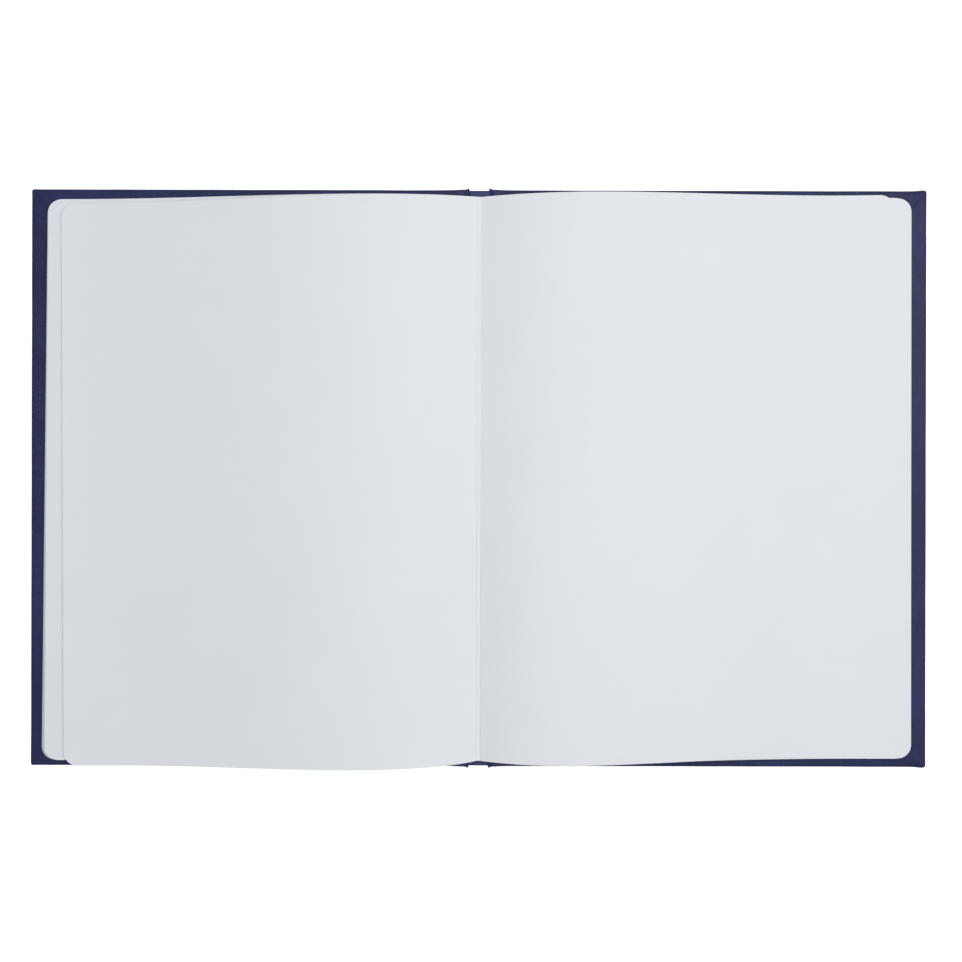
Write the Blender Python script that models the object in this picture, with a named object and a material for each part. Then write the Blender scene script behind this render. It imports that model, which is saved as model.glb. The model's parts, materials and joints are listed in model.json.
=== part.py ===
"""Pilot logbook: a case-bound, sewn book lying open at its middle.

Frame: X runs across the open spread with the front cover at -X, Y runs along the spine with
the head at +Y, and Z is up. The origin is on the table, under the middle of the spine.
Every "front" piece has a mirrored "back" piece at +X.
"""

import math

import bmesh
import bpy
from mathutils import Matrix, Vector

MM = 0.001

# Sheet size of the leaves: letter paper with rounded fore-edge corners.
LEAF_LENGTH = 279.4 * MM
LEAF_FORE_EDGE = 216.0 * MM
LEAF_CORNER_RADIUS = 6.35 * MM

# Case: two boards and a spine strip covered in one book cloth.
BOARD_LENGTH = 288.2 * MM
BOARD_INNER_EDGE = 7.55 * MM
BOARD_FORE_EDGE = 224.05 * MM
BOARD_THICKNESS = 2.2 * MM
STRIP_HALF_WIDTH = 4.85 * MM
STRIP_THICKNESS = 1.0 * MM
CLOTH_THICKNESS = 0.3 * MM
CLOTH_CORNER_RADIUS = 1.2 * MM
TURN_IN = 15.0 * MM
GLUE_GAP = 0.05 * MM

# Joint: the band of cloth between a board and the spine strip, which buckles up into a ridge.
JOINT_INNER = 5.15 * MM
JOINT_OUTER = 7.15 * MM
JOINT_CREST_X = 5.75 * MM
JOINT_CREST_Z = 2.75 * MM

# Linings: gauze over the folds and onto the boards, kraft paper over the gauze.
LINING_LENGTH = 268.0 * MM
LINING_BOTTOM = 1.80 * MM
MULL_LENGTH = 236.0 * MM
MULL_BOTTOM = 1.92 * MM
LINING_THICKNESS = 0.07 * MM
WING_INNER = 7.7 * MM
WING_OUTER = 32.0 * MM
WING_THICKNESS = 0.12 * MM

# Endpapers and flat signatures, by the height of their undersides.
PASTEDOWN_BOTTOM = 2.95 * MM
PASTEDOWN_THICKNESS = 0.15 * MM
PASTEDOWN_INNER = 3.2 * MM
PASTEDOWN_FORE_EDGE = 218.0 * MM
FLYLEAF_BOTTOM = 3.15 * MM
FLYLEAF_THICKNESS = 0.12 * MM
SIGNATURE_THICKNESS = 0.6 * MM
SIGNATURE_BOTTOMS = (3.32 * MM, 3.97 * MM, 4.62 * MM)
PAGES_INNER = 0.95 * MM

# Leaves of the middle signature, from the lowest to the top one on each side.
LEAF_BOTTOM = 5.27 * MM
LEAF_PITCH = 0.12 * MM
LEAF_THICKNESS = 0.08 * MM
LEAF_INNER = 0.5 * MM
LEAF_ARCHES = (0.62, 0.76, 0.88, 1.0)
UPPER_SIGNATURE_ARCH = 0.42

# Shape of the top leaf's arch above the place where it lies flat.
ARCH_RISE = 14.8 * MM
GUTTER_RISE = 3.5 * MM
ARCH_GUTTER_POWER = 0.9
ARCH_FORE_EDGE_POWER = 2.3
SHEET_STATIONS = 20
CORNER_STATIONS = 5

# Folds of the seven signatures, side by side along the spine, and the thread that sews them.
FOLD_BOTTOM = 2.05 * MM
FOLD_TOP = 2.40 * MM
FOLD_WIDTH = 0.65 * MM
FOLD_PITCH = 0.70 * MM
FOLD_LENGTH = 279.0 * MM
MIDDLE_FOLD_HALF_WIDTH = 0.45 * MM
MIDDLE_FOLD_BOTTOM = 2.6 * MM
MIDDLE_FOLD_TOP = 8.9 * MM
SEWING_STATIONS = tuple(y * MM for y in (112.0, 70.0, 28.0, -28.0, -70.0, -112.0))
SEWING_HOLE_RADIUS = 0.3 * MM
THREAD_RADIUS = 0.2 * MM
THREAD_LOW = 2.33 * MM
THREAD_HIGH = 9.15 * MM
THREAD_BEND_RADIUS = 0.6 * MM
THREAD_BEND_STEPS = 4
THREAD_TAIL = 4.0 * MM

# Joint axes, all along Y: where each half of the book hinges shut, and where its leaves turn.
HINGE_X = 2.0 * MM
HINGE_Z = 3.75 * MM
GUTTER_Z = 9.0 * MM

CUTTER_MARGIN = 2.0 * MM
SIDES = {"front": -1.0, "back": 1.0}


def clear_scene():
    for obj in list(bpy.data.objects):
        bpy.data.objects.remove(obj, do_unlink=True)


def material(name, color, roughness):
    mat = bpy.data.materials.new(name)
    mat.use_nodes = True
    shader = mat.node_tree.nodes["Principled BSDF"]
    shader.inputs["Base Color"].default_value = (*color, 1.0)
    shader.inputs["Roughness"].default_value = roughness
    shader.inputs["Metallic"].default_value = 0.0
    mat.diffuse_color = (*color, 1.0)
    return mat


def add_solid(name, mesh_builder, mat, pivot=Vector()):
    """Makes an object of a bmesh given in world coordinates, with its origin at pivot."""
    bmesh.ops.recalc_face_normals(mesh_builder, faces=mesh_builder.faces)
    bmesh.ops.translate(mesh_builder, verts=mesh_builder.verts, vec=-pivot)
    mesh = bpy.data.meshes.new(name)
    mesh_builder.to_mesh(mesh)
    mesh_builder.free()
    mesh.materials.append(mat)
    obj = bpy.data.objects.new(name, mesh)
    obj.location = pivot
    bpy.context.scene.collection.objects.link(obj)
    return obj


def box(low, high):
    """A box between two corners, given in any order on each axis."""
    low, high = Vector(low), Vector(high)
    size = Vector(abs(high[i] - low[i]) for i in range(3))
    builder = bmesh.new()
    place = Matrix.Translation((low + high) / 2) @ Matrix.Diagonal((*size, 1.0))
    bmesh.ops.create_cube(builder, size=1.0, matrix=place)
    return builder


def side_box(side, inner, outer, length, bottom, top):
    """A box on one side of the spine, centred on the book's length."""
    return box((side * inner, -length / 2, bottom), (side * outer, length / 2, top))


def cut(obj, name, builder):
    """Cuts the shape in builder out of obj."""
    cutter = add_solid(name, builder, obj.data.materials[0])
    cutter.hide_render = True
    cutter.display_type = "WIRE"
    modifier = obj.modifiers.new(name, "BOOLEAN")
    modifier.operation = "DIFFERENCE"
    modifier.solver = "EXACT"
    modifier.object = cutter


def hinge_pivot(side):
    return Vector((side * HINGE_X, 0.0, HINGE_Z))


def gutter_pivot():
    return Vector((0.0, 0.0, GUTTER_Z))


def arch_height(distance):
    """Height of the top leaf's arch at a distance from the gutter, as a share of ARCH_RISE."""
    crest = ARCH_GUTTER_POWER / (ARCH_GUTTER_POWER + ARCH_FORE_EDGE_POWER)
    share = min(distance / LEAF_FORE_EDGE, 1.0)
    climb = (share / crest) ** ARCH_GUTTER_POWER
    fall = ((1.0 - share) / (1.0 - crest)) ** ARCH_FORE_EDGE_POWER
    return climb * fall


def leaf_rise(distance, arch):
    """How far a sheet rises above its flat level, for an arch from 0 to 1."""
    gutter_share = (1.0 - min(distance / LEAF_FORE_EDGE, 1.0)) ** 2
    gutter_lift = GUTTER_RISE * (0.9 + 0.1 * arch) * gutter_share * min(1.0, 2.0 * arch)
    return gutter_lift + ARCH_RISE * arch * arch_height(distance)


def sheet_stations(inner, fore_edge):
    """Distances from the gutter at which a sheet's outline is set, closest where it curves most."""
    straight = fore_edge - LEAF_CORNER_RADIUS
    found = []
    for i in range(SHEET_STATIONS):
        share = i / (SHEET_STATIONS - 1)
        found.append(inner + (straight - inner) * share**1.6)
    for i in range(1, CORNER_STATIONS + 1):
        angle = math.radians(90.0 * i / CORNER_STATIONS)
        found.append(straight + LEAF_CORNER_RADIUS * math.sin(angle))
    return found


def sheet_half_length(distance, fore_edge):
    """Half of a sheet's length at a distance from the gutter: shorter inside its round corners."""
    into_corner = max(0.0, distance - (fore_edge - LEAF_CORNER_RADIUS))
    drop = LEAF_CORNER_RADIUS - math.sqrt(max(0.0, LEAF_CORNER_RADIUS**2 - into_corner**2))
    return LEAF_LENGTH / 2 - drop


def sheet(side, inner, fore_edge, bottom, thickness, arch=0.0):
    """A closed sheet or block of sheets, lofted through its stations from the gutter outwards."""
    builder = bmesh.new()
    rings = []
    for distance in sheet_stations(inner, fore_edge):
        half = sheet_half_length(distance, fore_edge)
        low = bottom + leaf_rise(distance, arch)
        corners = ((-half, low), (half, low), (half, low + thickness), (-half, low + thickness))
        rings.append([builder.verts.new((side * distance, y, z)) for y, z in corners])
    for ring, following in zip(rings, rings[1:]):
        for i in range(4):
            k = (i + 1) % 4
            builder.faces.new((ring[i], ring[k], following[k], following[i]))
    builder.faces.new(rings[0])
    builder.faces.new(rings[-1])
    return builder


def make_board(side_name, side, mat):
    bottom = CLOTH_THICKNESS + GLUE_GAP
    builder = side_box(
        side, BOARD_INNER_EDGE, BOARD_FORE_EDGE, BOARD_LENGTH, bottom, bottom + BOARD_THICKNESS
    )
    add_solid(f"{side_name}_board", builder, mat, hinge_pivot(side))


def make_cover_cloth(side_name, side, mat):
    """Cloth under the board, wrapped round its head, tail and fore-edge and turned in on top."""
    margin = CLOTH_THICKNESS + GLUE_GAP
    inner = BOARD_INNER_EDGE - margin
    outer = BOARD_FORE_EDGE + margin
    length = BOARD_LENGTH + 2 * margin
    top = BOARD_THICKNESS + 2 * margin
    builder = side_box(side, inner, outer, length, 0.0, top)
    corners = [
        edge
        for edge in builder.edges
        if all(abs(abs(vert.co.x) - outer) < GLUE_GAP for vert in edge.verts)
        and abs(edge.verts[0].co.z - edge.verts[1].co.z) > GLUE_GAP
    ]
    bmesh.ops.bevel(
        builder, geom=corners, offset=CLOTH_CORNER_RADIUS, segments=3, affect="EDGES", profile=0.5
    )
    name = f"{side_name}_cover_cloth"
    cloth = add_solid(name, builder, mat, hinge_pivot(side))
    open_end = inner - CUTTER_MARGIN
    pocket = side_box(
        side,
        open_end,
        outer - CLOTH_THICKNESS,
        length - 2 * CLOTH_THICKNESS,
        CLOTH_THICKNESS,
        top - CLOTH_THICKNESS,
    )
    cut(cloth, f"{name}_pocket", pocket)
    window = side_box(
        side, open_end, outer - TURN_IN, length - 2 * TURN_IN, top / 2, top + CUTTER_MARGIN
    )
    cut(cloth, f"{name}_window", window)


def make_mull_wing(side_name, side, mat):
    bottom = BOARD_THICKNESS + CLOTH_THICKNESS + 2 * GLUE_GAP
    builder = side_box(
        side, WING_INNER, WING_OUTER, MULL_LENGTH, bottom, bottom + WING_THICKNESS
    )
    add_solid(f"{side_name}_mull_wing", builder, mat, hinge_pivot(side))


def make_endpapers(side_name, side, mat):
    pastedown = sheet(
        side, PASTEDOWN_INNER, PASTEDOWN_FORE_EDGE, PASTEDOWN_BOTTOM, PASTEDOWN_THICKNESS
    )
    add_solid(f"{side_name}_pastedown", pastedown, mat, hinge_pivot(side))
    flyleaf = sheet(side, PAGES_INNER, LEAF_FORE_EDGE, FLYLEAF_BOTTOM, FLYLEAF_THICKNESS)
    add_solid(f"{side_name}_flyleaf", flyleaf, mat, gutter_pivot())


def make_signatures(side, mat):
    """Three signatures on each side: the two next to the endpaper lie flat, the third arches."""
    for i, bottom in enumerate(SIGNATURE_BOTTOMS):
        number = i + 1 if side < 0 else 7 - i
        arch = UPPER_SIGNATURE_ARCH if i == 2 else 0.0
        builder = sheet(side, PAGES_INNER, LEAF_FORE_EDGE, bottom, SIGNATURE_THICKNESS, arch)
        add_solid(f"signature_{number}", builder, mat, gutter_pivot())


def make_middle_leaves(side, mat):
    """The middle signature's leaves on one side, from the lowest to the open page."""
    for i, arch in enumerate(LEAF_ARCHES):
        number = i + 1 if side < 0 else 8 - i
        bottom = LEAF_BOTTOM + i * LEAF_PITCH
        builder = sheet(side, LEAF_INNER, LEAF_FORE_EDGE, bottom, LEAF_THICKNESS, arch)
        add_solid(f"signature_4_leaf_{number}", builder, mat, gutter_pivot())


def make_joint_cloth(side_name, side, mat):
    """A ridge of cloth from the board's lower edge up and down to the spine strip's."""
    outer = [
        (JOINT_OUTER, 0.0),
        (JOINT_OUTER, CLOTH_THICKNESS),
        (JOINT_CREST_X + 0.7 * CLOTH_THICKNESS, JOINT_CREST_Z),
        (JOINT_CREST_X - 0.7 * CLOTH_THICKNESS, JOINT_CREST_Z),
        (JOINT_INNER, CLOTH_THICKNESS),
        (JOINT_INNER, 0.0),
        (JOINT_INNER + 0.8 * CLOTH_THICKNESS, 0.0),
        (JOINT_CREST_X, JOINT_CREST_Z - 2.0 * CLOTH_THICKNESS),
        (JOINT_OUTER - 1.4 * CLOTH_THICKNESS, 0.0),
    ]
    half = BOARD_LENGTH / 2 + CLOTH_THICKNESS
    builder = bmesh.new()
    face = builder.faces.new([builder.verts.new((side * x, -half, z)) for x, z in outer])
    grown = bmesh.ops.extrude_face_region(builder, geom=[face])["geom"]
    moved = [item for item in grown if isinstance(item, bmesh.types.BMVert)]
    bmesh.ops.translate(builder, verts=moved, vec=(0.0, 2 * half, 0.0))
    add_solid(f"{side_name}_joint_cloth", builder, mat)


def make_spine_case(cloth, board):
    """The spine strip, and the cloth under it with a turn-in at the head and the tail."""
    margin = CLOTH_THICKNESS + GLUE_GAP
    strip = box(
        (-STRIP_HALF_WIDTH, -BOARD_LENGTH / 2, margin),
        (STRIP_HALF_WIDTH, BOARD_LENGTH / 2, margin + STRIP_THICKNESS),
    )
    add_solid("spine_strip", strip, board)
    half_width = STRIP_HALF_WIDTH + GLUE_GAP
    half_length = BOARD_LENGTH / 2 + margin
    top = STRIP_THICKNESS + 2 * margin
    wrap = add_solid(
        "spine_cloth",
        box((-half_width, -half_length, 0.0), (half_width, half_length, top)),
        cloth,
    )
    past_side = half_width + CUTTER_MARGIN
    pocket_end = half_length - CLOTH_THICKNESS
    pocket = box(
        (-past_side, -pocket_end, CLOTH_THICKNESS), (past_side, pocket_end, top - CLOTH_THICKNESS)
    )
    cut(wrap, "spine_cloth_pocket", pocket)
    window_end = half_length - TURN_IN
    window = box((-past_side, -window_end, top / 2), (past_side, window_end, top + CUTTER_MARGIN))
    cut(wrap, "spine_cloth_window", window)


def make_spine_linings(gauze, kraft):
    half_width = 3.5 * FOLD_PITCH + FOLD_WIDTH / 4
    kraft_strip = box(
        (-half_width, -LINING_LENGTH / 2, LINING_BOTTOM),
        (half_width, LINING_LENGTH / 2, LINING_BOTTOM + LINING_THICKNESS),
    )
    add_solid("spine_lining", kraft_strip, kraft)
    gauze_strip = box(
        (-half_width, -MULL_LENGTH / 2, MULL_BOTTOM),
        (half_width, MULL_LENGTH / 2, MULL_BOTTOM + LINING_THICKNESS),
    )
    add_solid("spine_mull", gauze_strip, gauze)


def make_folds(paper):
    """Each signature's folded edge on the spine; the middle one stands up between the leaves."""
    for number in (1, 2, 3, 5, 6, 7):
        centre = (number - 4) * FOLD_PITCH + math.copysign(0.15 * MM, number - 4)
        fold = box(
            (centre - FOLD_WIDTH / 2, -FOLD_LENGTH / 2, FOLD_BOTTOM),
            (centre + FOLD_WIDTH / 2, FOLD_LENGTH / 2, FOLD_TOP),
        )
        add_solid(f"signature_{number}_fold", fold, paper)
    middle = add_solid(
        "signature_4_fold",
        box(
            (-MIDDLE_FOLD_HALF_WIDTH, -FOLD_LENGTH / 2, MIDDLE_FOLD_BOTTOM),
            (MIDDLE_FOLD_HALF_WIDTH, FOLD_LENGTH / 2, MIDDLE_FOLD_TOP),
        ),
        paper,
    )
    for i, station in enumerate(SEWING_STATIONS):
        hole = bmesh.new()
        middle_height = (MIDDLE_FOLD_BOTTOM + MIDDLE_FOLD_TOP) / 2
        bmesh.ops.create_cone(
            hole,
            cap_ends=True,
            segments=10,
            radius1=SEWING_HOLE_RADIUS,
            radius2=SEWING_HOLE_RADIUS,
            depth=MIDDLE_FOLD_TOP - MIDDLE_FOLD_BOTTOM + CUTTER_MARGIN,
            matrix=Matrix.Translation((0.0, station, middle_height)),
        )
        cut(middle, f"sewing_hole_{i + 1}", hole)


def thread_route():
    """A running stitch from head to tail: down and up through the holes, with rounded bends."""
    corners = [Vector((0.0, SEWING_STATIONS[0] + THREAD_TAIL, THREAD_LOW))]
    height = THREAD_LOW
    for station in SEWING_STATIONS:
        corners.append(Vector((0.0, station, height)))
        height = THREAD_HIGH if height == THREAD_LOW else THREAD_LOW
        corners.append(Vector((0.0, station, height)))
    corners.append(Vector((0.0, SEWING_STATIONS[-1] - THREAD_TAIL, THREAD_LOW)))
    route = [corners[0]]
    for before, corner, after in zip(corners, corners[1:], corners[2:]):
        arriving = (before - corner).normalized() * THREAD_BEND_RADIUS
        leaving = (after - corner).normalized() * THREAD_BEND_RADIUS
        centre = corner + arriving + leaving
        for i in range(THREAD_BEND_STEPS + 1):
            angle = math.radians(90.0 * i / THREAD_BEND_STEPS)
            route.append(centre - leaving * math.cos(angle) - arriving * math.sin(angle))
    route.append(corners[-1])
    return route


def make_thread(mat):
    curve = bpy.data.curves.new("sewing_thread", "CURVE")
    curve.dimensions = "3D"
    curve.bevel_depth = THREAD_RADIUS
    curve.bevel_resolution = 2
    curve.use_fill_caps = True
    spline = curve.splines.new("POLY")
    route = thread_route()
    spline.points.add(len(route) - 1)
    for point, place in zip(spline.points, route):
        point.co = (*place, 1.0)
    curve.materials.append(mat)
    thread = bpy.data.objects.new("sewing_thread", curve)
    bpy.context.scene.collection.objects.link(thread)


def main():
    clear_scene()
    cloth = material("navy_book_cloth", (0.022, 0.022, 0.075), 0.8)
    board = material("grey_board", (0.34, 0.32, 0.29), 0.9)
    paper = material("white_paper", (0.80, 0.81, 0.83), 0.75)
    endpaper = material("endpaper", (0.83, 0.84, 0.85), 0.7)
    gauze = material("mull_gauze", (0.70, 0.68, 0.62), 0.9)
    kraft = material("kraft_lining", (0.42, 0.28, 0.16), 0.85)
    thread = material("linen_thread", (0.78, 0.76, 0.70), 0.6)
    make_spine_case(cloth, board)
    make_spine_linings(gauze, kraft)
    make_folds(paper)
    make_thread(thread)
    for side_name, side in SIDES.items():
        make_board(side_name, side, board)
        make_cover_cloth(side_name, side, cloth)
        make_joint_cloth(side_name, side, cloth)
        make_mull_wing(side_name, side, gauze)
        make_endpapers(side_name, side, endpaper)
        make_signatures(side, paper)
        make_middle_leaves(side, paper)


main()
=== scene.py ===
"""Looks of the pilot logbook: an open, sewn hardback in navy book cloth with blank white leaves.

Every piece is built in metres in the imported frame: X across the spread, Y along the spine, Z up.
"""

import json
import math
import random

import bmesh
import bpy
import numpy as np
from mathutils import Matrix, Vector


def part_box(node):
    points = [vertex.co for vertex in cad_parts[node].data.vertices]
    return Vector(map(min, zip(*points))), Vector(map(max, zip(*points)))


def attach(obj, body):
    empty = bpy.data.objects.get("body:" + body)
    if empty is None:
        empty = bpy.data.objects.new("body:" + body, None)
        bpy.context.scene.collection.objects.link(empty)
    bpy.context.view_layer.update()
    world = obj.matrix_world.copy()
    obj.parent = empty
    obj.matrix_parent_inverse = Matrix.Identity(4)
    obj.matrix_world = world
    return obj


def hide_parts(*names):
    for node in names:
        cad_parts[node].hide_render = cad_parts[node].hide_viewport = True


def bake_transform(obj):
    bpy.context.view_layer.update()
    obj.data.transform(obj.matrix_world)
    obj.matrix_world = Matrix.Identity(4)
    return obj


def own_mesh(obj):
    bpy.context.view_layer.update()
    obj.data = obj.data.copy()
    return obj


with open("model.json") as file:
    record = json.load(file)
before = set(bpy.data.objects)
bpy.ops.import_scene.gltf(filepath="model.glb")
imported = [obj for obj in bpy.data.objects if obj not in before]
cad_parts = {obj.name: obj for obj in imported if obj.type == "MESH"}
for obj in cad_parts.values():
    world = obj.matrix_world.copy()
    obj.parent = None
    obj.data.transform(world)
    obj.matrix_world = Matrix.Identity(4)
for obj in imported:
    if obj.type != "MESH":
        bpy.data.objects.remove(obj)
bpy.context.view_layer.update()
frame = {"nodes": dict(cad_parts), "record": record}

MM = 0.001
SIDES = {"front": -1.0, "back": 1.0}
dice = random.Random(7)

# Driving sizes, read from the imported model. The back half of the spread lies on the positive X side.
BLOCK_LOW, BLOCK_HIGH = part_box("signature_7")
COVER_LOW, COVER_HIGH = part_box("back_cover_cloth")
SPINE_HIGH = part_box("spine_cloth")[1]
BOARD_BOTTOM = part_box("back_board")[0].z
PASTEDOWN_LOW, PASTEDOWN_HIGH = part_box("back_pastedown")
FLYLEAF_LOW, FLYLEAF_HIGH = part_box("back_flyleaf")
FOLD_LOW, FOLD_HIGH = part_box("signature_4_fold")
THREAD_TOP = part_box("sewing_thread")[1].z
HINGE = next(j for j in frame["record"]["behaviour"]["joints"] if j["name"] == "back_cover_hinge")
HALF_LENGTH = BLOCK_HIGH.y
FORE_EDGE = BLOCK_HIGH.x

# Book cloth: its thickness at the spine and the joints, the height of its lower middle surface there,
# how far it turns in, how much a folded corner swells, where a painted highlight on the spine begins,
# and the lighter colour shared by the worn edges and that painted highlight.
CLOTH_THICKNESS = 0.28 * MM
CLOTH_LOW = 0.15 * MM
TURN_IN = 15.0 * MM
CORNER_LUMP = {"front": 0.12 * MM, "back": 0.42 * MM}
# Painted highlight: the spine strip and its joints are coloured lighter to stand in for light falling on
# them.
SPINE_HIGHLIGHT_EDGE = COVER_LOW.x + 4.5 * MM
WORN_AND_HIGHLIGHT_CLOTH = (0.038, 0.041, 0.130)

# Section of the cloth at a board's edge as (inset, height) in mm: first over the board from the turn-in
# out to the edge, in heights from the case's top, and then under it from the edge inwards.
OVER_BOARD = (
    (14.85, 0.0),
    (11.0, 0.0),
    (7.5, 0.0),
    (4.6, 0.02),
    (2.6, 0.03),
    (1.5, 0.01),
    (0.85, -0.05),
    (0.42, -0.20),
    (0.16, -0.42),
    (0.02, -0.75),
)
UNDER_BOARD = (
    (0.02, 0.70),
    (0.16, 0.36),
    (0.42, 0.15),
    (0.9, 0.03),
    (1.8, 0.0),
    (4.0, 0.0),
    (9.0, 0.0),
    (16.0, 0.0),
    (26.0, 0.0),
    (40.0, 0.0),
    (60.0, 0.0),
    (85.0, 0.0),
    (108.0, 0.0),
)

# Paper: the round corners of the sheets, and the spacing of the sheets and signatures that lie flat.
# FLAT_SIGNATURES pairs the front one's number with the back one's, from the covers inwards.
CORNER_RADIUS = 6.6 * MM
CORNER_STEPS = 9
PAPER_THICKNESS = 0.066 * MM
SHEET_PITCH = 0.0795 * MM
SHEETS_PER_SIGNATURE = 8
SIGNATURE_PITCH = 0.65 * MM
FLAT_SIGNATURES = ((1, 7), (2, 6), (3, 5))
PAPER_COLOR = (0.765, 0.785, 0.81)

# Arched leaves: the lowest four on each side are the top of a flat signature, and the rest belong to
# the middle one. They are spaced by ARCHED_PITCH in height and by INNER_STEP at the gutter.
UPPER_LEAVES = 4
ARCHED_THICKNESS = 0.033 * MM
ARCHED_BASE = 5.27 * MM
ARCHED_PITCH = 0.035 * MM
ARCHED_INNER_EDGE = 1.03 * MM
INNER_STEP = 0.045 * MM
ARCH_WIDTH = 217.0 * MM
GUTTER_RISE = 3.3 * MM

# How the leaves lie on each side:
# rise, arches: height of the open page's arch, and each leaf's share in it, from the lowest leaf up.
# crest_at_head, crest_at_tail, climb: where the arch crests, in shares of its width, and how it climbs.
# slide_at_gutter, slide_outwards, slide_power, lean: how the open page slides along the spine on its
# way to the fore-edge, and how it leans there. block_slide, block_lean and upper_lean do the same for
# the leaves below it, and follow is how far those turn with it.
# short_by, curls: how far each leaf stops short of the block, and how far its edge curls up, in mm.
# block_reach, pastedown_reach: how far the block and the pastedown pass the CAD's fore-edge.
# fold_top: height of the middle fold beside the gutter. ripple: a slight wave in the page.
OPEN_PAGES = {
    "front": {
        "rise": 14.1 * MM,
        "arches": (0.10, 0.17, 0.25, 0.33, 0.42, 0.52, 0.62, 1.0),
        "crest_at_head": 0.289,
        "crest_at_tail": 0.265,
        "climb": 0.94,
        "slide_at_gutter": 0.05 * MM,
        "slide_outwards": -3.84 * MM,
        "slide_power": 0.436,
        "lean": 0.85 * MM,
        "short_by": (1.05, 1.1, 1.15, 1.2, 1.25, 1.3, 1.4, 9.3),
        "follow": 0.0,
        "block_slide": (-0.2 * MM, -1.05 * MM),
        "block_lean": -1.2 * MM,
        "upper_lean": -0.75 * MM,
        "block_reach": 0.5 * MM,
        "pastedown_reach": -0.8 * MM,
        "fold_top": 9.43 * MM,
        "curls": (0.9, 0.9, 0.9, 0.9, 0.9, 0.9, 0.9, 1.9),
        "ripple": 0.5 * MM,
    },
    "back": {
        "rise": 12.1 * MM,
        "arches": (0.14, 0.24, 0.34, 0.44, 0.55, 0.67, 0.80, 1.0),
        "crest_at_head": 0.283,
        "crest_at_tail": 0.221,
        "climb": 1.05,
        "slide_at_gutter": -0.40 * MM,
        "slide_outwards": 2.2 * MM,
        "slide_power": 1.78,
        "lean": -1.3 * MM,
        "short_by": (0.2, 0.4, 0.7, 1.0, 1.6, 2.4, 7.4, 8.4),
        "follow": 0.08,
        "block_slide": (-0.3 * MM, 0.6 * MM),
        "block_lean": -0.2 * MM,
        "upper_lean": -0.2 * MM,
        "block_reach": -0.2 * MM,
        "pastedown_reach": -1.4 * MM,
        "fold_top": 9.24 * MM,
        "curls": (0.0, 0.0, 0.0, 0.0, 0.0, 0.9, 0.8, 0.9),
        "ripple": -0.4 * MM,
    },
}


# ---------------------------------------------------------------- materials


def new_material(name):
    """A Principled material: (material, its nodes, a function that links two sockets, the shader)."""
    mat = bpy.data.materials.new(name)
    mat.use_nodes = True
    tree = mat.node_tree
    return mat, tree.nodes, tree.links.new, tree.nodes["Principled BSDF"]


def add_node(nodes, kind, **inputs):
    """A new shader node with some of its inputs set; an underscore stands for a space in their names."""
    made = nodes.new(kind)
    for name, value in inputs.items():
        made.inputs[name.replace("_", " ")].default_value = value
    return made


def math_node(nodes, link, operation, *values):
    """The output of a new Math node; each value is a number or another node's socket."""
    made = nodes.new("ShaderNodeMath")
    made.operation = operation
    for socket, value in zip(made.inputs, values):
        if isinstance(value, (int, float)):
            socket.default_value = value
        else:
            link(value, socket)
    return made.outputs[0]


def stretched_noise(nodes, link, coords, scale, detail=2.0, roughness=0.5):
    """Noise whose grain size differs along the three axes, from scale = (x, y, z) per metre."""
    mapping = nodes.new("ShaderNodeMapping")
    mapping.inputs["Scale"].default_value = scale
    link(coords, mapping.inputs["Vector"])
    noise = add_node(nodes, "ShaderNodeTexNoise", Scale=1.0, Detail=detail, Roughness=roughness)
    link(mapping.outputs["Vector"], noise.inputs["Vector"])
    return noise.outputs["Fac"]


def color_ramp(nodes, link, factor, *stops):
    """A colour that changes with factor through stops of (position, color)."""
    ramp = nodes.new("ShaderNodeValToRGB")
    elements = ramp.color_ramp.elements
    while len(elements) < len(stops):
        elements.new(0.5)
    for element, (position, color) in zip(elements, stops):
        element.position = position
        element.color = (*color, 1.0)
    link(factor, ramp.inputs["Fac"])
    return ramp.outputs["Color"]


def mix_colors(nodes, link, factor, first, second, blend="MIX"):
    """The mix of two colours, each a tuple or a socket, by a factor that is a number or a socket."""
    made = nodes.new("ShaderNodeMix")
    made.data_type = "RGBA"
    made.blend_type = blend
    for socket, value in zip((made.inputs[0], made.inputs[6], made.inputs[7]), (factor, first, second)):
        if isinstance(value, (int, float)):
            socket.default_value = value
        elif isinstance(value, tuple):
            socket.default_value = (*value, 1.0)
        else:
            link(value, socket)
    return made.outputs[2]


def add_bump(nodes, link, shader, height, strength, distance):
    """Surface relief from a height socket; distance is its depth in metres."""
    bump = add_node(nodes, "ShaderNodeBump", Strength=strength, Distance=distance)
    link(height, bump.inputs["Height"])
    link(bump.outputs["Normal"], shader.inputs["Normal"])


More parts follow.
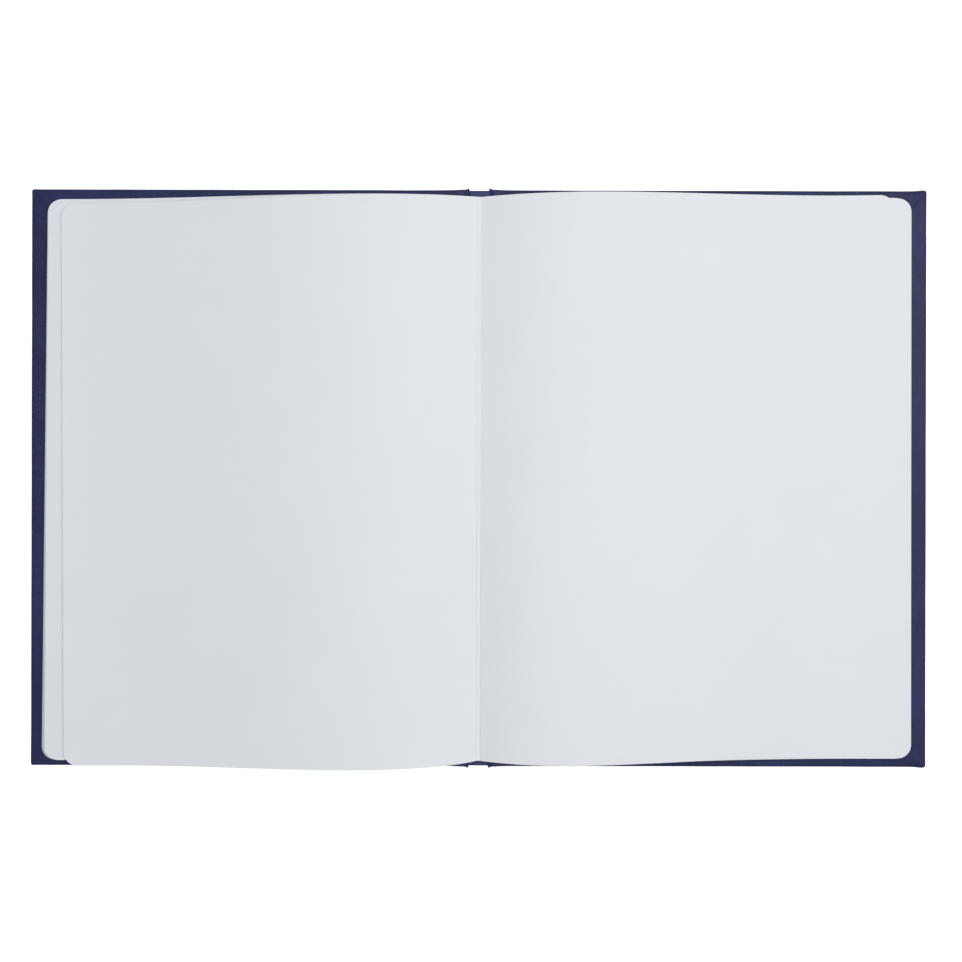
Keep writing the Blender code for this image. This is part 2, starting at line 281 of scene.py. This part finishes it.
def book_cloth_material():
    """Navy canvas-weave book cloth: crossed threads with slubs, a dull sheen, worn edges and a painted
    highlight on the spine.
    """
    thread_pitch = 0.8 * MM
    mat, nodes, link, shader = new_material("navy_book_cloth")
    coords = nodes.new("ShaderNodeTexCoord").outputs["Object"]
    split = nodes.new("ShaderNodeSeparateXYZ")
    link(coords, split.inputs[0])
    waves = []
    for axis in "XYZ":
        turned = math_node(nodes, link, "MULTIPLY", split.outputs[axis], 2 * math.pi / thread_pitch)
        waves.append(math_node(nodes, link, "SINE", turned))
    crossed = math_node(nodes, link, "MULTIPLY", waves[0], waves[1])
    weave = math_node(nodes, link, "MULTIPLY_ADD", waves[2], 0.35, crossed)
    along_x = stretched_noise(nodes, link, coords, (160, 1900, 900))
    along_y = stretched_noise(nodes, link, coords, (1900, 160, 900))
    slubs = math_node(nodes, link, "ADD", along_x, along_y)
    height = math_node(nodes, link, "MULTIPLY_ADD", slubs, 1.3, weave)
    patches = stretched_noise(nodes, link, coords, (22, 22, 22), detail=4.0, roughness=0.6)
    tone = math_node(nodes, link, "MULTIPLY_ADD", slubs, 0.42, patches)
    base = color_ramp(
        nodes,
        link,
        tone,
        (0.55, (0.0062, 0.0095, 0.054)),
        (0.95, (0.0092, 0.0130, 0.071)),
        (1.0, (0.0140, 0.0185, 0.092)),
    )
    pointiness = nodes.new("ShaderNodeNewGeometry").outputs["Pointiness"]
    worn = color_ramp(nodes, link, pointiness, (0.515, (0.0, 0.0, 0.0)), (0.60, (0.55, 0.55, 0.55)))
    # Painted highlight: the cloth turns lighter from a little beyond the joint in to the spine strip,
    # standing in for light on it.
    from_spine = math_node(nodes, link, "ABSOLUTE", split.outputs["X"])
    painted_spine_highlight = add_node(nodes, "ShaderNodeMapRange", From_Min=SPINE_HIGHLIGHT_EDGE, From_Max=SPINE_HIGH.x, To_Max=1.0)
    link(from_spine, painted_spine_highlight.inputs["Value"])
    on_edges = mix_colors(nodes, link, worn, base, WORN_AND_HIGHLIGHT_CLOTH)
    link(mix_colors(nodes, link, painted_spine_highlight.outputs[0], on_edges, WORN_AND_HIGHLIGHT_CLOTH), shader.inputs["Base Color"])
    rough = math_node(nodes, link, "MULTIPLY_ADD", patches, 0.16, 0.36)
    link(rough, shader.inputs["Roughness"])
    shader.inputs["Specular IOR Level"].default_value = 0.32
    shader.inputs["Sheen Weight"].default_value = 0.02
    shader.inputs["Sheen Roughness"].default_value = 0.45
    shader.inputs["Sheen Tint"].default_value = (0.45, 0.42, 0.85, 1.0)
    add_bump(nodes, link, shader, height, 0.55, 0.07 * MM)
    return mat


def paper_material(name, color, sheet_tone=0.0):
    """Smooth paper: faint cloudy mottling, fine fibres and, by sheet_tone, a change from sheet to sheet."""
    mat, nodes, link, shader = new_material(name)
    coords = nodes.new("ShaderNodeTexCoord").outputs["Object"]
    clouds = stretched_noise(nodes, link, coords, (30, 30, 30), detail=3.0, roughness=0.6)
    fibres = stretched_noise(nodes, link, coords, (2600, 900, 2600), detail=3.0, roughness=0.65)
    some_fibres = math_node(nodes, link, "MULTIPLY", fibres, 0.35)
    tone = math_node(nodes, link, "MULTIPLY_ADD", clouds, 0.65, some_fibres)
    dark = tuple(channel * 0.97 for channel in color)
    surface = color_ramp(nodes, link, tone, (0.30, dark), (0.70, color))
    if sheet_tone:
        sheets = stretched_noise(nodes, link, coords, (3, 3, 11000), detail=1.0)
        edge_dark = tuple(channel * (1.0 - sheet_tone) for channel in color)
        layered = color_ramp(nodes, link, sheets, (0.35, edge_dark), (0.60, (1.0, 1.0, 1.0)))
        surface = mix_colors(nodes, link, 1.0, surface, layered, "MULTIPLY")
    link(surface, shader.inputs["Base Color"])
    rough = math_node(nodes, link, "MULTIPLY_ADD", fibres, 0.18, 0.56)
    link(rough, shader.inputs["Roughness"])
    shader.inputs["Specular IOR Level"].default_value = 0.32
    height = math_node(nodes, link, "MULTIPLY_ADD", clouds, 2.0, fibres)
    add_bump(nodes, link, shader, height, 0.25, 0.02 * MM)
    return mat


def board_material():
    """Grey binder's board: flecked pulp with a layered edge."""
    mat, nodes, link, shader = new_material("grey_board")
    coords = nodes.new("ShaderNodeTexCoord").outputs["Object"]
    flecks = stretched_noise(nodes, link, coords, (900, 900, 900), detail=5.0, roughness=0.7)
    layers = stretched_noise(nodes, link, coords, (40, 40, 5000), detail=2.0)
    some_flecks = math_node(nodes, link, "MULTIPLY", flecks, 0.6)
    tone = math_node(nodes, link, "MULTIPLY_ADD", layers, 0.4, some_flecks)
    color = color_ramp(nodes, link, tone, (0.32, (0.17, 0.16, 0.145)), (0.62, (0.37, 0.35, 0.32)))
    link(color, shader.inputs["Base Color"])
    shader.inputs["Roughness"].default_value = 0.88
    add_bump(nodes, link, shader, flecks, 0.5, 0.08 * MM)
    return mat


def thread_material(name, color, pitch, axis, depth):
    """Twisted or open-woven thread: bright and dark bands along one axis, with stray fibres."""
    mat, nodes, link, shader = new_material(name)
    coords = nodes.new("ShaderNodeTexCoord").outputs["Object"]
    split = nodes.new("ShaderNodeSeparateXYZ")
    link(coords, split.inputs[0])
    other_axis = "X" if axis == "Y" else "Y"
    slant = math_node(nodes, link, "ADD", split.outputs[axis], split.outputs[other_axis])
    turned = math_node(nodes, link, "MULTIPLY", slant, 2 * math.pi / pitch)
    bands = math_node(nodes, link, "SINE", turned)
    fuzz = stretched_noise(nodes, link, coords, (2500, 2500, 2500), detail=4.0)
    height = math_node(nodes, link, "MULTIPLY_ADD", bands, 0.5, fuzz)
    dark = tuple(channel * 0.62 for channel in color)
    link(color_ramp(nodes, link, height, (0.0, dark), (1.0, color)), shader.inputs["Base Color"])
    shader.inputs["Roughness"].default_value = 0.75
    shader.inputs["Sheen Weight"].default_value = 0.2
    add_bump(nodes, link, shader, height, 0.7, depth)
    return mat


def kraft_material():
    """Brown kraft paper with ribs that run along the spine."""
    mat, nodes, link, shader = new_material("kraft_paper")
    coords = nodes.new("ShaderNodeTexCoord").outputs["Object"]
    ribs = stretched_noise(nodes, link, coords, (1500, 60, 1500), detail=3.0)
    color = color_ramp(nodes, link, ribs, (0.3, (0.27, 0.17, 0.09)), (0.7, (0.45, 0.30, 0.17)))
    link(color, shader.inputs["Base Color"])
    shader.inputs["Roughness"].default_value = 0.82
    add_bump(nodes, link, shader, ribs, 0.4, 0.03 * MM)
    return mat


def floor_material():
    """Pale matt studio floor with a barely visible grain."""
    mat, nodes, link, shader = new_material("pale_floor")
    coords = nodes.new("ShaderNodeTexCoord").outputs["Object"]
    grain = stretched_noise(nodes, link, coords, (8, 8, 8), detail=2.0)
    color = color_ramp(nodes, link, grain, (0.3, (0.93, 0.93, 0.93)), (0.7, (0.95, 0.95, 0.95)))
    link(color, shader.inputs["Base Color"])
    shader.inputs["Roughness"].default_value = 0.9
    shader.inputs["Specular IOR Level"].default_value = 0.1
    shader.inputs["Emission Color"].default_value = (1.0, 1.0, 1.0, 1.0)
    shader.inputs["Emission Strength"].default_value = 0.55
    return mat


# ---------------------------------------------------------------- mesh building


def add_mesh(name, points, faces, mat, sharp_degrees=35.0):
    """A closed mesh with its faces turned outwards, smooth except at its sharp edges."""
    mesh = bpy.data.meshes.new(name)
    mesh.from_pydata([tuple(p) for p in points], [], [tuple(f) for f in faces])
    builder = bmesh.new()
    builder.from_mesh(mesh)
    bmesh.ops.recalc_face_normals(builder, faces=builder.faces)
    builder.to_mesh(mesh)
    builder.free()
    mesh.materials.append(mat)
    mesh.shade_smooth()
    mesh.set_sharp_from_angle(angle=math.radians(sharp_degrees))
    obj = bpy.data.objects.new(name, mesh)
    bpy.context.scene.collection.objects.link(obj)
    return obj


def shell_faces(columns, rows, offset=0):
    """Faces of a thin closed sheet stored as an underside grid and then a top grid of points."""

    def at(layer, i, j):
        return offset + layer * columns * rows + i * rows + j

    faces = []
    for i in range(columns - 1):
        for j in range(rows - 1):
            for layer in (0, 1):
                ring = [(i, j), (i + 1, j), (i + 1, j + 1), (i, j + 1)]
                faces.append([at(layer, *place) for place in (ring if layer else ring[::-1])])
    rim = [(i, 0) for i in range(columns)]
    rim += [(columns - 1, j) for j in range(1, rows)]
    rim += [(i, rows - 1) for i in range(columns - 2, -1, -1)]
    rim += [(0, j) for j in range(rows - 2, 0, -1)]
    for first, second in zip(rim, rim[1:] + rim[:1]):
        faces.append([at(0, *first), at(0, *second), at(1, *second), at(1, *first)])
    return faces


def sheet_points(side, shape, inner, reach, thickness, columns, rows):
    """Underside and top points of a leaf with two round fore-edge corners.

    shape(distance, along) gives (distance, along, height) arrays for points of the flat outline.
    """
    straight = reach - CORNER_RADIUS
    run = inner + (straight - inner) * np.linspace(0.0, 1.0, columns) ** 1.5
    turn = np.radians(90.0) * np.arange(1, CORNER_STEPS + 1) / CORNER_STEPS
    distances = np.concatenate([run, straight + CORNER_RADIUS * np.sin(turn)])
    drops = np.concatenate([np.zeros(columns), CORNER_RADIUS * (1.0 - np.cos(turn))])
    shares = np.sin(np.linspace(-0.5, 0.5, rows) * math.pi)
    flat_distance = np.repeat(distances[:, None], rows, axis=1)
    flat_along = shares[None, :] * (HALF_LENGTH - drops)[:, None]
    moved, along, height = shape(flat_distance, flat_along)
    points = [np.stack([side * moved, along, height + lift], -1) for lift in (0.0, thickness)]
    return np.concatenate([layer.reshape(-1, 3) for layer in points]), len(distances)


def add_sheets(name, side, sheets, mat, columns=24, rows=2, thickness=PAPER_THICKNESS):
    """One mesh of thin sheets, each given as (shape, inner distance, reach)."""
    points, faces = [], []
    total = 0
    for shape, inner, reach in sheets:
        made, across = sheet_points(side, shape, inner, reach, thickness, columns, rows)
        faces += shell_faces(across, rows, total)
        points.append(made)
        total += len(made)
    return add_mesh(name, np.concatenate(points), faces, mat)


def rounded_ring(low, high, radii, counts, arc_steps=6):
    """Points round a rectangle, side by side, with a round corner after each side.

    radii and counts (steps per side, closer near the corners) follow the sides: low y, high x, high y,
    low x.
    """
    (x0, y0), (x1, y1) = low, high
    corners = ((x1, y0, -90), (x1, y1, 0), (x0, y1, 90), (x0, y0, 180))
    arcs = []
    for (cx, cy, start), radius in zip(corners, radii):
        centre_x = cx - math.copysign(radius, cx - (x0 + x1) / 2)
        centre_y = cy - math.copysign(radius, cy - (y0 + y1) / 2)
        arc = []
        for i in range(arc_steps + 1):
            angle = math.radians(start + 90.0 * i / arc_steps)
            arc.append((centre_x + radius * math.cos(angle), centre_y + radius * math.sin(angle)))
        arcs.append(arc)
    ring = []
    for k, arc in enumerate(arcs):
        before = arcs[k - 1][-1]
        for i in range(1, counts[k]):
            share = 0.5 - 0.5 * math.cos(math.pi * i / counts[k])
            ring.append(tuple(before[a] + (arc[0][a] - before[a]) * share for a in (0, 1)))
        ring += arc
    return np.array(ring)


def band_faces(size, first, second):
    """Faces between two rings of size points, given by their places in a list of such rings."""
    faces = []
    for i in range(size):
        j = (i + 1) % size
        faces.append([first * size + i, first * size + j, second * size + j, second * size + i])
    return faces


def cap_face(size, ring):
    """One face over a whole ring, given by its place in a list of rings of size points."""
    return [ring * size + i for i in range(size)]


def wear(along, seed):
    """How far an edge is worn in at places along it: small and smooth, in metres."""
    broad = np.sin(along * 47.0 + seed)
    middle = 0.6 * np.sin(along * 113.0 + 2.3 * seed)
    fine = 0.3 * np.sin(along * 290.0)
    return 0.05 * MM * np.abs(broad + middle + fine)


# ---------------------------------------------------------------- the case


def board_section():
    """(inset, height) places of the cloth round a board's edge: its outside, and its lining inside.

    The outside runs from the end of the turn-in, over the edge and far in under the board, and the
    lining runs back from under the board to the end of the turn-in.
    """
    top = COVER_HIGH.z
    thickness = BOARD_BOTTOM - 0.05 * MM
    turn_in_bottom = top - thickness
    outside = [(TURN_IN, turn_in_bottom), (TURN_IN, top - 0.05 * MM)]
    outside += [(inset * MM, top + height * MM) for inset, height in OVER_BOARD]
    outside.append((0.0, top / 2))
    outside += [(inset * MM, height * MM) for inset, height in UNDER_BOARD]
    board_edge = thickness + 0.03 * MM
    lining = [(TURN_IN + 1.0 * MM, thickness), (board_edge, thickness), (board_edge, turn_in_bottom)]
    return outside, lining


def case_ring(side_name, inset, height, nested, outside):
    """One ring of a cover's cloth at an inset from its edge, as x, y and z arrays.

    A nested ring is inset from the spine side too; the others follow the joint. The outside has worn
    edges, a small horn at each end of the joint and swollen corners at the fore-edge.
    """
    lump = CORNER_LUMP[side_name]
    seed = 1.0 if side_name == "front" else 4.0
    spine_inset = inset if nested else min(inset, 0.3 * MM + 0.012 * inset)
    low = (COVER_LOW.x + spine_inset, COVER_LOW.y + inset)
    high = (COVER_HIGH.x - inset, COVER_HIGH.y - inset)
    fore_radius = max(1.1 * MM - inset, 0.15 * MM)
    spine_radius = max(0.8 * MM - inset, 0.2 * MM)
    radii = (fore_radius, fore_radius, spine_radius, spine_radius)
    ring = rounded_ring(low, high, radii, counts=(44, 58, 44, 58))
    x, y = ring[:, 0], ring[:, 1]
    z = np.full(len(ring), height)
    if outside:
        near_edge = math.exp(-((inset / (3.0 * MM)) ** 2))
        at_side = np.abs(y) < high[1] - 2.0 * MM
        at_fore_edge = at_side & (x > COVER_HIGH.x / 2)
        x = x - np.where(at_fore_edge, near_edge * wear(y, seed), 0.0)
        horn = 0.48 * MM * np.exp(-(x - COVER_LOW.x) / (4.0 * MM))
        y = y - np.where(~at_side, near_edge * np.sign(y) * wear(x, seed + 2), 0.0)
        bulge = lump * np.exp(-(((x - COVER_HIGH.x + 2.0 * MM) / (2.5 * MM)) ** 2))
        at_end = np.abs(y) > high[1] - 0.5 * MM
        y = y + np.where(at_end, near_edge * np.sign(y) * (horn + bulge), 0.0)
        if height > COVER_HIGH.z / 2:
            z = z + mitre_height(x, y, inset, high, lump)
    return x, y, z


def cover_case(side_name, side, mat):
    """Cloth wrapped round a board: rounded edges, turn-ins on top and a folded mitre at two corners."""
    section, lining = board_section()
    rings = []
    for index, (inset, height) in enumerate(section + lining):
        nested = height < COVER_HIGH.z / 2 and index <= len(section)
        x, y, z = case_ring(side_name, inset, height, nested, outside=index < len(section))
        rings.append(np.stack([side * x, y, z], -1))
    size = len(rings[0])
    bottom, last = len(section) - 1, len(rings) - 1
    faces = []
    for k in range(last):
        if k != bottom:
            faces += band_faces(size, k, k + 1)
    faces += [cap_face(size, bottom), cap_face(size, bottom + 1)[::-1]]
    faces += band_faces(size, last, 0)
    case = add_mesh(f"{side_name}_case", np.concatenate(rings), faces, mat, sharp_degrees=50.0)
    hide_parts(f"{side_name}_cover_cloth")
    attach(case, f"{side_name}_cover")


def mitre_height(x, y, inset, high, lump):
    """How the turn-ins swell over a fore-edge corner, where one is folded over the other at 45 degrees."""
    from_side, from_end = high[0] - x, high[1] - np.abs(y)
    near = np.exp(-((np.hypot(from_side, from_end) / (9.0 * MM)) ** 2))
    across = (from_side - from_end) / math.sqrt(2.0)
    on_top = min(1.0, max(0.0, (inset - 0.5 * MM) / (1.2 * MM)))
    ridge = np.exp(-((across / (1.1 * MM)) ** 2))
    overlap = 1.0 / (1.0 + np.exp(-np.clip(across / (0.22 * MM), -30.0, 30.0)))
    return lump * (0.35 * near + on_top * near * (0.6 * ridge + 0.75 * overlap))


def head_path(top_z, end_y):
    """(y, z) places along cloth folded over at the head: from the turn-in, round the end, then under."""
    turn_in_steps, round_steps, under_steps = 5, 7, 16
    turn_in_y = COVER_HIGH.y - TURN_IN
    radius = (top_z - CLOTH_LOW) / 2
    centre_y, centre_z = end_y - radius, CLOTH_LOW + radius
    path = []
    for i in range(turn_in_steps + 1):
        path.append((turn_in_y + (centre_y - turn_in_y) * i / turn_in_steps, top_z))
    for i in range(1, round_steps):
        angle = math.radians(90.0 - 180.0 * i / round_steps)
        path.append((centre_y + radius * math.cos(angle), centre_z + radius * math.sin(angle)))
    for i in range(under_steps + 1):
        path.append((centre_y - centre_y * i / under_steps, CLOTH_LOW))
    return path


def folded_line(x, top_z, end_y, sink=0.0):
    """Points of one lengthwise line of the folded cloth, from the head's turn-in to the tail's.

    sink lowers the turn-ins and leaves the underside in place.
    """
    half = head_path(top_z, end_y)
    line = []
    for y, z in half + [(-y, z) for y, z in half[-2::-1]]:
        share = (z - CLOTH_LOW) / (top_z - CLOTH_LOW)
        line.append((x, y, z - sink * share))
    return line


def ribbon(name, stations, line_at, mat):
    """Cloth folded over at the head and the tail, as a closed ribbon.

    line_at(u) gives the points of the lengthwise line at each of the stations across the ribbon.
    """
    under, over = [], []
    for u in stations:
        line = np.array(line_at(u))
        ahead_y, ahead_z = np.gradient(line[:, 1]), np.gradient(line[:, 2])
        length = np.hypot(ahead_y, ahead_z)
        normal = np.stack([np.zeros(len(line)), -ahead_z / length, ahead_y / length], -1)
        under.append(line - normal * CLOTH_THICKNESS / 2)
        over.append(line + normal * CLOTH_THICKNESS / 2)
    faces = shell_faces(len(under), len(under[0]))
    return add_mesh(name, np.concatenate(under + over), faces, mat, sharp_degrees=60.0)


def spine_case(mat):
    """Cloth over the spine strip, folded in at the head and the tail and rounded along its sides."""
    half_width = SPINE_HIGH.x + 0.05 * MM
    top = SPINE_HIGH.z - 0.15 * MM

    def line_at(u):
        roll = abs(u) ** 6
        end_y = SPINE_HIGH.y - 0.1 * MM * (1 - roll)
        return folded_line(u * half_width, top, end_y, sink=0.22 * MM * roll)

    stations = np.sin(np.linspace(-0.5, 0.5, 15) * math.pi)
    case = ribbon("spine_case", stations, line_at, mat)
    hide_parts("spine_cloth")
    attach(case, "spine")


def joint_cloth(side_name, side, mat):
    """The cloth hinge between spine strip and board: a groove whose folded ends stand out as horns."""
    start = SPINE_HIGH.x - 0.02 * MM
    end = COVER_LOW.x + 0.12 * MM
    strip_top = SPINE_HIGH.z - 0.3 * MM
    board_top = COVER_HIGH.z - 0.25 * MM
    groove_depth = 1.0 * MM

    def line_at(u):
        groove = groove_depth * math.sin(math.pi * min(u * 1.15, 1.0)) ** 0.8
        top = strip_top + (board_top - strip_top) * u**2.2 - groove
        horn = (0.50 + 1.15 * (1.0 - u) ** 1.3) * MM * min(1.0, u / 0.1)
        return folded_line(side * (start + (end - start) * u), top, SPINE_HIGH.y - 0.1 * MM + horn)

    stations = np.concatenate([np.linspace(0.0, 0.2, 5), np.linspace(0.3, 1.0, 9)])
    cloth = ribbon(f"{side_name}_joint", stations, line_at, mat)
    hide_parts(f"{side_name}_joint_cloth")
    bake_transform(cloth)


# ---------------------------------------------------------------- the leaves


def block_slide(pages, share):
    """How far the block's leaves slide along the spine, from the gutter out to the fore-edge."""
    at_gutter, outwards = pages["block_slide"]
    return at_gutter + outwards * share


def page_slide(pages, share):
    """How far the open page slides along the spine, from the gutter out to the fore-edge."""
    return pages["slide_at_gutter"] + pages["slide_outwards"] * share ** pages["slide_power"]


def flat_shape(height, pages, shift=0.0):
    """A sheet that lies flat, slid and leant like the rest of its half of the block."""

    def shape(distance, along):
        lean = pages["block_lean"] * along / HALF_LENGTH * distance / FORE_EDGE
        slide = block_slide(pages, distance / FORE_EDGE)
        return distance + lean, along + slide + shift, np.full_like(distance, height)

    return shape


def endpapers(side_name, side, mat):
    """The pastedown on the board and the loose flyleaf over it."""
    pages = OPEN_PAGES[side_name]
    for node, low, high, body in (
        ("pastedown", PASTEDOWN_LOW, PASTEDOWN_HIGH, "cover"),
        ("flyleaf", FLYLEAF_LOW, FLYLEAF_HIGH, "pages"),
    ):
        shape = flat_shape(low.z, pages)
        reach = high.x + (pages["pastedown_reach"] if node == "pastedown" else pages["block_reach"])
        name = f"{side_name}_{node}_sheet"
        sheet = add_sheets(name, side, [(shape, low.x, reach)], mat, thickness=high.z - low.z)
        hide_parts(f"{side_name}_{node}")
        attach(sheet, f"{side_name}_{body}")


def inner_edge(height):
    """Where a flat sheet's inner edge lies, so that the block clears the open fold as it shuts."""
    pivot_x, pivot_z = abs(HINGE["pos_m"][0]), HINGE["pos_m"][2]
    clear = pivot_x - 0.5 * MM
    above = min(abs(height - pivot_z), clear)
    return max(BLOCK_LOW.x, pivot_x - math.sqrt(clear**2 - above**2))


def flat_signatures(side_name, side, mat):
    """The signatures that lie flat, each a mesh of eight loose sheets with slightly uneven edges."""
    pages = OPEN_PAGES[side_name]
    for numbers in FLAT_SIGNATURES:
        number = numbers[0] if side_name == "front" else numbers[1]
        bottom = FLYLEAF_HIGH.z + 0.05 * MM + (numbers[0] - 1) * SIGNATURE_PITCH
        sheets = []
        for i in range(SHEETS_PER_SIGNATURE):
            height = bottom + i * SHEET_PITCH
            reach = FORE_EDGE + pages["block_reach"] + dice.uniform(-0.12, 0.12) * MM
            shape = flat_shape(height, pages, dice.uniform(-0.08, 0.08) * MM)
            sheets.append((shape, inner_edge(height), reach))
        block = add_sheets(f"signature_{number}_sheets", side, sheets, mat)
        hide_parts(f"signature_{number}")
        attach(block, f"{side_name}_pages")


def arch_shape(pages, base, arch, reach, turn, curl):
    """Where an arched leaf's points lie: turn is 0 for a leaf in line with the block, 1 for the open page.

    All leaves of one side share one arch, scaled by each leaf's share in it, so that none cross.
    """

    def shape(distance, along):
        share = np.clip(distance / reach, 0.0, 1.0)
        lean = pages["lean"] * turn + pages["upper_lean"] * (1.0 - turn)
        distance = distance + lean * along / HALF_LENGTH * share
        along = along + page_slide(pages, share) * turn + block_slide(pages, share) * (1.0 - turn)
        out = np.clip(distance / ARCH_WIDTH, 0.0, 1.0)
        head, tail = pages["crest_at_head"], pages["crest_at_tail"]
        crest = tail + (head - tail) * (along / HALF_LENGTH + 1.0) / 2.0
        fall = pages["climb"] * (1.0 - crest) / crest
        bow = (out / crest) ** pages["climb"] * ((1.0 - out) / (1.0 - crest)) ** fall
        ripple = pages["ripple"] * np.sin(along * 34.0 + 3.0 * out) * out * (1.0 - out) ** 2
        gutter = GUTTER_RISE * (0.72 + 0.28 * arch) * (1.0 - out) ** 2
        height = base + gutter + arch * (pages["rise"] * bow + ripple) + curl * share**9
        return distance, along, height

    return shape


def arched_leaves(side_name, side, mat):
    """Leaves that rise from the gutter and settle on the block."""
    pages = OPEN_PAGES[side_name]
    in_front = side_name == "front"
    upper = "signature_3" if in_front else "signature_5"
    last = len(pages["arches"]) - 1
    for i, arch in enumerate(pages["arches"]):
        in_middle = i - UPPER_LEAVES
        base = ARCHED_BASE + i * ARCHED_PITCH
        reach = FORE_EDGE + pages["block_reach"] * (i < last) - pages["short_by"][i] * MM
        inner = ARCHED_INNER_EDGE + (last - i) * INNER_STEP
        if in_middle < 0:
            name = f"{upper}_upper_leaf_{i + 1}"
            node, body = upper, f"{side_name}_pages"
        else:
            number = in_middle + 1 if in_front else 8 - in_middle
            name = f"open_leaf_{number}"
            node = f"signature_4_leaf_{number}"
            body = f"{side_name}_page" if i == last else f"{side_name}_leaves"
        turn = 1.0 if i == last else pages["follow"] * (i / last) ** 2
        shape = arch_shape(pages, base, arch, reach, turn, curl=pages["curls"][i] * MM)
        sheets = [(shape, inner, reach)]
        leaf = add_sheets(name, side, sheets, mat, columns=64, rows=29, thickness=ARCHED_THICKNESS)
        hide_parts(node)
        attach(leaf, body)
        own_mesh(leaf)


def open_fold(side_name, side, mat):
    """It lies down as its own cover shuts.
    """
    stations = 60
    pages = OPEN_PAGES[side_name]
    slide = page_slide(pages, ARCHED_INNER_EDGE / FORE_EDGE)
    lip = ARCHED_INNER_EDGE - 0.03 * MM
    top = pages["fold_top"]
    crown = THREAD_TOP - 0.02 * MM
    outline = (
        (0.0, FOLD_LOW.z),
        (FOLD_HIGH.x, FOLD_LOW.z),
        (FOLD_HIGH.x, 6.6 * MM),
        (0.7 * MM, 7.3 * MM),
        (lip, 7.7 * MM),
        (lip, top - 0.02 * MM),
        (lip - 0.03 * MM, top),
        (0.5 * MM, (top + crown) / 2),
        (0.0, crown),
    )
    size = len(outline)
    points, faces = [], []
    for k in range(stations + 1):
        y = slide - HALF_LENGTH + 2 * HALF_LENGTH * k / stations
        points += [(side * x, y, z) for x, z in outline]
    for k in range(stations):
        faces += band_faces(size, k, k + 1)
    faces += [cap_face(size, 0)[::-1], cap_face(size, stations)]
    fold = add_mesh(f"open_fold_{side_name}", points, faces, mat)
    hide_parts("signature_4_fold")
    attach(fold, "spine")
    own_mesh(fold)


# ---------------------------------------------------------------- studio


def add_floor():
    """A wide, pale floor just under the book."""
    half = 3.0
    corners = [(-half, -half, 0.0), (half, -half, 0.0), (half, half, 0.0), (-half, half, 0.0)]
    mesh = bpy.data.meshes.new("studio_floor")
    mesh.from_pydata(corners, [], [(0, 1, 2, 3)])
    mesh.materials.append(floor_material())
    floor = bpy.data.objects.new("studio_floor", mesh)
    floor.location.z = -0.05 * MM
    bpy.context.scene.collection.objects.link(floor)


def add_area_light(name, place, size, power):
    """A square soft light that points at the book."""
    data = bpy.data.lights.new(name, "AREA")
    data.size = size
    data.energy = power
    lamp = bpy.data.objects.new(name, data)
    lamp.location = place
    lamp.rotation_euler = (-Vector(place)).to_track_quat("-Z", "Y").to_euler()
    bpy.context.scene.collection.objects.link(lamp)


def add_studio():
    """Three soft lights above and beside the spread, brighter from the right, and an even pale surround."""
    scene = bpy.context.scene
    world = bpy.data.worlds.new("studio")
    world.use_nodes = True
    background = world.node_tree.nodes["Background"]
    background.inputs["Color"].default_value = (0.93, 0.96, 1.0, 1.0)
    background.inputs["Strength"].default_value = 0.385
    scene.world = world
    scene.view_settings.view_transform = "Standard"
    add_area_light("key", (0.12, 0.32, 1.15), 0.45, 4.75)
    add_area_light("side", (0.78, 0.20, 1.02), 0.4, 3.55)
    add_area_light("fill", (-0.15, -0.42, 1.15), 0.45, 2.25)


def add_camera():
    """Straight above the spread, with the two covers filling the frame's width."""
    data = bpy.data.cameras.new("camera")
    data.sensor_width = 36.0
    data.lens = 42.73
    data.clip_start = 0.01
    camera = bpy.data.objects.new("camera", data)
    camera.location = (1.15 * MM, -1.45 * MM, 0.575)
    camera.rotation_euler = (0.0, 0.0, math.radians(0.13))
    bpy.context.scene.collection.objects.link(camera)
    bpy.context.scene.camera = camera


def dress_cad_nodes(materials):
    """Gives each CAD node that stays in view its finished material."""
    by_slot = {part["node"]: part["material_slot"] for part in frame["record"]["subparts"]}
    for name, obj in frame["nodes"].items():
        mat = materials[by_slot[name]]
        if not obj.material_slots:
            obj.data.materials.append(mat)
        for slot in obj.material_slots:
            slot.material = mat


def book_materials():
    """The finished material of each slot."""
    return {
        "book_cloth": book_cloth_material(),
        "board": board_material(),
        "endpaper": paper_material("endpaper", (0.775, 0.795, 0.815)),
        "page_paper": paper_material("writing_paper", PAPER_COLOR),
        "mull_gauze": thread_material("mull_gauze", (0.70, 0.68, 0.62), 1.2 * MM, "X", 0.1 * MM),
        "kraft_lining": kraft_material(),
        "linen_thread": thread_material("linen_thread", (0.80, 0.80, 0.79), 0.7 * MM, "Y", 0.06 * MM),
    }


def main():
    add_camera()
    materials = book_materials()
    edges = paper_material("stacked_paper", PAPER_COLOR, sheet_tone=0.10)
    dress_cad_nodes(materials)
    spine_case(materials["book_cloth"])
    for side_name, side in SIDES.items():
        cover_case(side_name, side, materials["book_cloth"])
        joint_cloth(side_name, side, materials["book_cloth"])
        endpapers(side_name, side, materials["endpaper"])
        flat_signatures(side_name, side, edges)
        arched_leaves(side_name, side, materials["page_paper"])
        open_fold(side_name, side, materials["page_paper"])
    add_floor()
    add_studio()


main()
